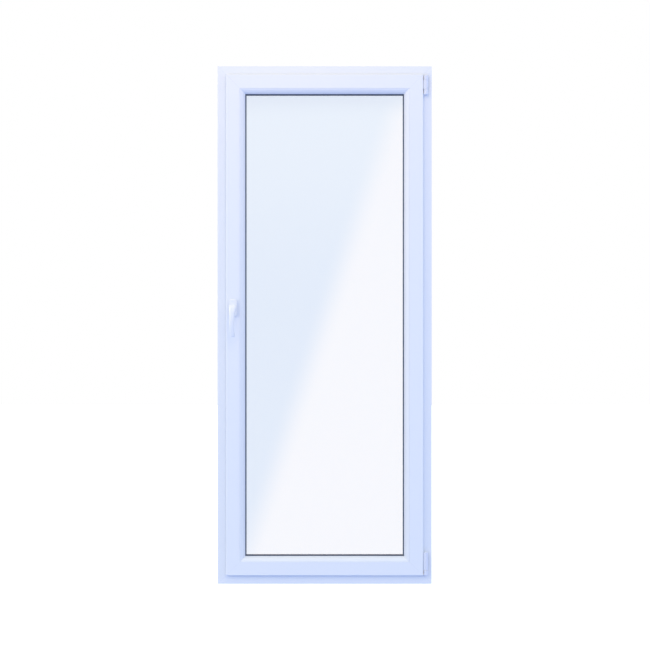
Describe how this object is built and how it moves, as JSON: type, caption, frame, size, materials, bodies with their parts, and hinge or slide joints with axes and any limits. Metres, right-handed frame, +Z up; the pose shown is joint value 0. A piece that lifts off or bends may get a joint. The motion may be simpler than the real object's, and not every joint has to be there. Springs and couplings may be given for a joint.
{
  "type": "casement window",
  "caption": "Tall inward-opening plastic-framed window: insulating glass sash turning on side hinges and tilting at the top, with lever handle and perimeter locking.",
  "frame": {"origin": "middle of the frame's underside, halfway through its depth", "axes": "+X to the right seen from the room, towards the hinges; +Y towards the outside; +Z up"},
  "size_m": [0.9, 0.1474, 2.175],
  "materials": {
    "white_pvc": "satin extruded white plastic, slightly cool",
    "white_cover": "smooth moulded white plastic",
    "handle_paint": "white powder coat on a die-cast lever",
    "zinc_steel": "zinc-plated, satin silver",
    "galvanised_steel": "dull galvanised strip",
    "black_rubber": "matt dark grey sealing rubber",
    "clear_glass": "clear float glass, faint blue",
    "spacer_aluminium": "mill finish with fine perforations",
    "block_plastic": "matt moulded packers"
  },
  "bodies": {
    "frame": {"frame_sill": "white_pvc", "frame_head": "white_pvc", "frame_jamb_lock": "white_pvc", "frame_jamb_hinge": "white_pvc", "frame_reinforcement": "galvanised_steel", "frame_seal": "black_rubber", "lock_keeps": "zinc_steel", "tilt_keep": "zinc_steel", "keep_screws": "zinc_steel", "drain_caps": "white_cover", "corner_bearing": "zinc_steel", "corner_bearing_cover": "white_cover", "stay_bearing": "zinc_steel", "stay_bearing_cover": "white_cover", "stay_pin": "zinc_steel", "bearing_screws": "zinc_steel"},
    "hinge_carrier": {"corner_band": "zinc_steel", "corner_band_cover": "white_cover"},
    "stay": {"stay_arm": "zinc_steel", "stay_arm_cover": "white_cover", "stay_slide_pin": "zinc_steel"},
    "sash": {"sash_bottom_rail": "white_pvc", "sash_top_rail": "white_pvc", "sash_lock_stile": "white_pvc", "sash_hinge_stile": "white_pvc", "sash_reinforcement": "galvanised_steel", "sash_seal": "black_rubber", "bead_gasket": "black_rubber", "outer_gasket": "black_rubber", "inner_pane": "clear_glass", "outer_pane": "clear_glass", "spacer_bar": "spacer_aluminium", "edge_sealant": "black_rubber", "setting_blocks": "block_plastic", "bead_bottom": "white_pvc", "bead_top": "white_pvc", "bead_lock_side": "white_pvc", "bead_hinge_side": "white_pvc", "faceplates": "zinc_steel", "faceplate_screws": "zinc_steel", "corner_drives": "zinc_steel", "tilt_bush": "zinc_steel", "gearbox_case": "zinc_steel", "handle_base": "white_cover", "handle_screws": "zinc_steel", "detent_plate": "zinc_steel"},
    "handle": {"handle_lever": "handle_paint", "handle_spindle": "zinc_steel", "drive_pinion": "zinc_steel"},
    "cover_plate": {"handle_cover": "handle_paint"},
    "lock_strip": {"drive_strip_lock": "zinc_steel", "cams_lock": "zinc_steel"},
    "top_strip": {"drive_strip_top": "zinc_steel", "cams_top": "zinc_steel"},
    "bottom_strip": {"drive_strip_bottom": "zinc_steel", "cams_bottom": "zinc_steel"},
    "hinge_strip": {"drive_strip_hinge": "zinc_steel", "cams_hinge": "zinc_steel"}
  },
  "joints": [
    {"name": "sash_turn", "type": "hinge", "parent": "frame", "child": "hinge_carrier", "pos_m": [0.4253, -0.047, 0.058], "axis": [0, 0, 1], "range_deg": [0, 90]},
    {"name": "sash_tilt", "type": "hinge", "parent": "hinge_carrier", "child": "sash", "pos_m": [0.39, -0.03, 0.0485], "axis": [1, 0, 0], "range_deg": [0, 4]},
    {"name": "stay_swing", "type": "hinge", "parent": "hinge_carrier", "child": "stay", "pos_m": [0.4253, -0.047, 2.0965], "axis": [0, 0, 1], "range_deg": [0, 21]},
    {"name": "handle_turn", "type": "hinge", "parent": "sash", "child": "handle", "pos_m": [-0.384, -0.06, 1.159], "axis": [0, -1, 0], "range_deg": [0, 180]},
    {"name": "cover_swing", "type": "hinge", "parent": "sash", "child": "cover_plate", "pos_m": [-0.384, -0.058, 1.159], "axis": [0, -1, 0], "range_deg": [0, 90]},
    {"name": "lock_strip_slide", "type": "slide", "parent": "sash", "child": "lock_strip", "axis": [0, 0, -1], "range_m": [0, 0.0268]},
    {"name": "top_strip_slide", "type": "slide", "parent": "sash", "child": "top_strip", "axis": [-1, 0, 0], "range_m": [0, 0.0268]},
    {"name": "bottom_strip_slide", "type": "slide", "parent": "sash", "child": "bottom_strip", "axis": [1, 0, 0], "range_m": [0, 0.0268]},
    {"name": "hinge_strip_slide", "type": "slide", "parent": "sash", "child": "hinge_strip", "axis": [0, 0, 1], "range_m": [0, 0.0268]}
  ],
  "couplings": [
    {"joint": "stay_swing", "follows": "sash_tilt", "ratio": 5.21},
    {"joint": "lock_strip_slide", "follows": "handle_turn", "m_per_rad": 0.0085},
    {"joint": "top_strip_slide", "follows": "handle_turn", "m_per_rad": 0.0085},
    {"joint": "bottom_strip_slide", "follows": "handle_turn", "m_per_rad": 0.0085},
    {"joint": "hinge_strip_slide", "follows": "handle_turn", "m_per_rad": 0.0085}
  ]
}
